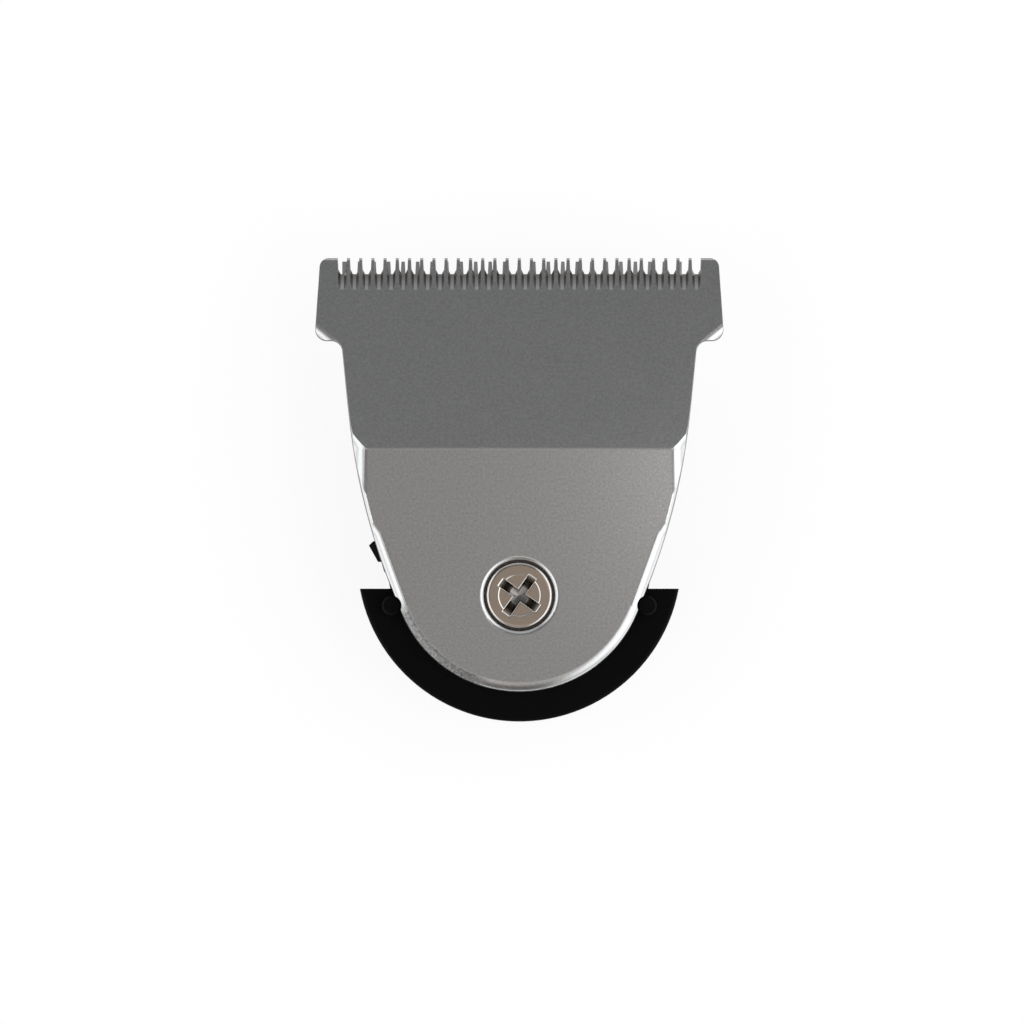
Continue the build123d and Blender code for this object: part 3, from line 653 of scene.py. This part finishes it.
# Nickel plate: warm grey and fairly bright, a little cloudy from the barrel, with a painted highlight on its
# edges; painted shade darkens the recess with depth, down to its bare grey floor
barrel_mark = 0.12 * mm
nickel_roughness = (0.14, 0.24)
edge_facing = (0.98, 0.9)
shade_depth = (8.12 * mm, 7.7 * mm)
recess_floor = (7.22 * mm, 7.06 * mm)
nickel, tree, shader, place = new_material("barrel nickel plate")
marks = add_node(
    tree, "ShaderNodeTexNoise",
    {"Vector": place.outputs["Object"], "Scale": 1 / barrel_mark, "Detail": 3, "Roughness": 0.6},
)
plating = add_node(
    tree, "ShaderNodeMix",
    {"Factor": marks.outputs["Fac"], "A": linear("#BBAA9B"), "B": linear("#D0C0B0")}, data_type="RGBA",
)
height = add_node(tree, "ShaderNodeSeparateXYZ", {"Vector": place.outputs["Object"]})
depth_shade = add_node(
    tree, "ShaderNodeMapRange",
    {"Value": height.outputs["Z"], "From Min": shade_depth[0], "From Max": shade_depth[1]},
)
above_floor = add_node(
    tree, "ShaderNodeMapRange",
    {"Value": height.outputs["Z"], "From Min": recess_floor[1], "From Max": recess_floor[0]},
)
recess_shade = add_node(
    tree, "ShaderNodeMath", {0: depth_shade.outputs["Result"], 1: above_floor.outputs["Result"]}, operation="MULTIPLY"
)
facing = add_node(tree, "ShaderNodeSeparateXYZ", {"Vector": place.outputs["Normal"]})
turned = add_node(
    tree, "ShaderNodeMapRange",
    {"Value": facing.outputs["Z"], "From Min": edge_facing[0], "From Max": edge_facing[1]},
)
# painted highlight: tilted rim and recess edges lifted to near white
highlighted = add_node(
    tree, "ShaderNodeMix",
    {"Factor": turned.outputs["Result"], "A": plating.outputs["Result"], "B": linear("#F8F3EE")},
    data_type="RGBA",
)
bared = add_node(
    tree, "ShaderNodeMix",
    {"Factor": above_floor.outputs["Result"], "A": linear("#BDBAB7"), "B": highlighted.outputs["Result"]},
    data_type="RGBA",
)
# painted shade: the recess walls darken with depth, except on the bare floor
tint = add_node(
    tree, "ShaderNodeMix",
    {"Factor": recess_shade.outputs[0], "A": bared.outputs["Result"], "B": linear("#6A6259")}, data_type="RGBA",
)
dull = add_node(
    tree, "ShaderNodeMapRange",
    {"Value": marks.outputs["Fac"], "To Min": nickel_roughness[0], "To Max": nickel_roughness[1]},
)
tree.links.new(tint.outputs["Result"], shader.inputs["Base Color"])
tree.links.new(dull.outputs["Result"], shader.inputs["Roughness"])
shader.inputs["Metallic"].default_value = 1.0
screw.data.materials.append(nickel)

# Bench: a plain white sheet of matt paper, wide enough to fill every view, that the set lies on.
# It is white to the camera and in reflections, and keeps the soft shadow that falls on it. It lies a
# hair under the set's back, so that the two faces don't coincide.
bench_half = 1.5
bench_drop = 0.01 * mm
paper_glow = 0.88
bench_mesh = bpy.data.meshes.new("bench")
corners = np.array([[-1, -1, 0], [1, -1, 0], [1, 1, 0], [-1, 1, 0]]) * bench_half - [0, 0, bench_drop]
bench_mesh.from_pydata(corners.tolist(), [], [(0, 1, 2, 3)])
bench = bpy.data.objects.new("bench", bench_mesh)
bpy.context.scene.collection.objects.link(bench)

# White paper: its glow and the light on it add up to white, and little light goes back up to the set
paper, tree, shader, _ = new_material("white paper sheet")
shader.inputs["Base Color"].default_value = linear("#787878")
shader.inputs["Roughness"].default_value = 0.9
path = add_node(tree, "ShaderNodeLightPath")
mirrored = add_node(
    tree, "ShaderNodeMath",
    {0: path.outputs["Is Glossy Ray"], 1: path.outputs["Is Transmission Ray"]}, operation="MAXIMUM",
)
seen = add_node(
    tree, "ShaderNodeMath",
    {0: path.outputs["Is Camera Ray"], 1: mirrored.outputs[0]}, operation="MAXIMUM",
)
glow = add_node(tree, "ShaderNodeMath", {0: seen.outputs[0], 1: paper_glow}, operation="MULTIPLY")
shader.inputs["Emission Color"].default_value = linear("#FFFFFF")
tree.links.new(glow.outputs[0], shader.inputs["Emission Strength"])
bench_mesh.materials.append(paper)

# Studio: a light tent open at the top, in front and behind, with a large soft light on either side.
# The right one is a little stronger and reaches further over the set. The opening overhead is grey, and a
# small soft panel above the set's right side lifts that side of the satin steel.

# Bounds are on the X, Y or Z of a direction, levels are strengths, where 1 is white, and a share is a
# part of such a level
right_reach = 0.07
rear_wrap = 0.28
opening_y = (-0.3, 0.45)
opening_level = (0.6, 0.15)
rear_y = (-0.85, -0.5)
rear_share = 0.32
seam_x = (0.05, 0.25)
seam_share = 0.65
front_y = (0.6, 0.85)
front_level = 0.3
side_level = (1.15, 1.3)
side_bound = (0.47, 0.65)
side_foot_z = (0.1, 0.45)
side_rear_y = (-0.85, -0.55)
side_edge_share = 0.6
cool_y = (-0.02, 0.22)
world = bpy.data.worlds.new("studio")
bpy.context.scene.world = world
world.use_nodes = True
tree = world.node_tree
tree.nodes.clear()
sky = add_node(tree, "ShaderNodeTexCoord")
toward = add_node(tree, "ShaderNodeSeparateXYZ", {"Vector": sky.outputs["Generated"]})

# How far to the side a direction looks, and how far the side lights wrap round behind
off_centre = add_node(tree, "ShaderNodeMath", {0: toward.outputs["X"], 1: right_reach}, operation="ADD")
sideways = add_node(tree, "ShaderNodeMath", {0: off_centre.outputs[0]}, operation="ABSOLUTE")
rearward = add_node(
    tree, "ShaderNodeMapRange",
    {"Value": toward.outputs["Y"], "From Min": 0.0, "From Max": -1.0, "To Max": rear_wrap},
)
wrapped = add_node(
    tree, "ShaderNodeMath", {0: sideways.outputs[0], 1: rearward.outputs["Result"]}, operation="ADD"
)

# Grey opening: darker towards the front, low behind and out to the sides, with a glow far in front
before = add_node(
    tree, "ShaderNodeMapRange",
    {
        "Value": toward.outputs["Y"], "From Min": opening_y[0], "From Max": opening_y[1],
        "To Min": opening_level[0], "To Max": opening_level[1],
    },
)
behind = add_node(
    tree, "ShaderNodeMapRange",
    {"Value": toward.outputs["Y"], "From Min": rear_y[0], "From Max": rear_y[1], "To Min": rear_share},
    interpolation_type="SMOOTHSTEP",
)
opening = add_node(
    tree, "ShaderNodeMath", {0: before.outputs["Result"], 1: behind.outputs["Result"]}, operation="MULTIPLY"
)
seam = add_node(
    tree, "ShaderNodeMapRange",
    {
        "Value": sideways.outputs[0], "From Min": seam_x[0], "From Max": seam_x[1],
        "To Min": 1.0, "To Max": seam_share,
    },
    interpolation_type="SMOOTHSTEP",
)
front = add_node(
    tree, "ShaderNodeMapRange",
    {"Value": toward.outputs["Y"], "From Min": front_y[0], "From Max": front_y[1], "To Max": front_level},
)
overhead = add_node(
    tree, "ShaderNodeMath", {0: opening.outputs[0], 1: seam.outputs["Result"]}, operation="MULTIPLY"
)
cloth = add_node(
    tree, "ShaderNodeMath", {0: overhead.outputs[0], 1: front.outputs["Result"]}, operation="ADD"
)

# Side lights, dimmer along the foot and the rear edge
softboxes = add_node(
    tree, "ShaderNodeMapRange",
    {"Value": toward.outputs["X"], "From Min": -1.0, "To Min": side_level[0], "To Max": side_level[1]},
)
lower_edge = add_node(
    tree, "ShaderNodeMapRange",
    {
        "Value": toward.outputs["Z"], "From Min": side_foot_z[0], "From Max": side_foot_z[1],
        "To Min": side_edge_share,
    },
    interpolation_type="SMOOTHSTEP",
)
rear_edge = add_node(
    tree, "ShaderNodeMapRange",
    {
        "Value": toward.outputs["Y"], "From Min": side_rear_y[0], "From Max": side_rear_y[1],
        "To Min": side_edge_share,
    },
    interpolation_type="SMOOTHSTEP",
)
edges = add_node(
    tree, "ShaderNodeMath",
    {0: lower_edge.outputs["Result"], 1: rear_edge.outputs["Result"]}, operation="MULTIPLY",
)
soft_light = add_node(
    tree, "ShaderNodeMath", {0: softboxes.outputs["Result"], 1: edges.outputs[0]}, operation="MULTIPLY"
)
share = add_node(
    tree, "ShaderNodeMapRange",
    {"Value": wrapped.outputs[0], "From Min": side_bound[0], "From Max": side_bound[1]},
    interpolation_type="SMOOTHSTEP",
)
light = add_node(
    tree, "ShaderNodeMix",
    {"Factor": share.outputs["Result"], "A": cloth.outputs[0], "B": soft_light.outputs[0]},
    data_type="FLOAT",
)

# Plain white for the camera; reflections keep the studio, which gives the steel its greys
path = add_node(tree, "ShaderNodeLightPath")
level = add_node(
    tree, "ShaderNodeMix",
    {"Factor": path.outputs["Is Camera Ray"], "A": light.outputs["Result"], "B": 1.0}, data_type="FLOAT",
)
coolness = add_node(
    tree, "ShaderNodeMapRange", {"Value": toward.outputs["Y"], "From Min": cool_y[0], "From Max": cool_y[1]}
)
neutral = add_node(
    tree, "ShaderNodeMath", {0: coolness.outputs["Result"], 1: share.outputs["Result"]}, operation="MAXIMUM"
)
tone = add_node(
    tree, "ShaderNodeMix",
    {"Factor": neutral.outputs[0], "A": linear("#FFFAF6"), "B": linear("#FBFDFF")}, data_type="RGBA",
)
colour = add_node(
    tree, "ShaderNodeMix",
    {"Factor": path.outputs["Is Camera Ray"], "A": tone.outputs["Result"], "B": linear("#FFFFFF")},
    data_type="RGBA",
)
background = add_node(
    tree, "ShaderNodeBackground", {"Color": colour.outputs["Result"], "Strength": level.outputs["Result"]}
)
add_node(tree, "ShaderNodeOutputWorld", {"Surface": background.outputs["Background"]})

# Soft panel, low in power, that only lifts the right side
panel_size = 30 * mm
panel_watts = 0.002
panel_place = (30 * mm, 6 * mm, 120 * mm)
panel_data = bpy.data.lights.new("soft panel", "AREA")
panel_data.size = panel_size
panel_data.energy = panel_watts
panel = bpy.data.objects.new("soft panel", panel_data)
panel.location = panel_place
panel.visible_camera = False
bpy.context.scene.collection.objects.link(panel)

# Camera: straight down on the steel face through a long lens, as the set lies on the bench.
# The scale is set on the plate's foot, where its outline is widest.
image_width = 1024
pixels_per_mm = 12.2
frame_width = image_width / pixels_per_mm * mm
image_middle = (-0.6 * mm, -1.8 * mm)
plate_foot = 6 * mm
camera_height = 0.6
camera_data = bpy.data.cameras.new("camera")
camera = bpy.data.objects.new("camera", camera_data)
bpy.context.scene.collection.objects.link(camera)
bpy.context.scene.camera = camera
camera.location = (*image_middle, plate_foot + camera_height)
camera_data.sensor_width = 36
camera_data.lens = camera_data.sensor_width * camera_height / frame_width
camera_data.clip_end = 10

bpy.context.scene.view_settings.view_transform = "Standard"
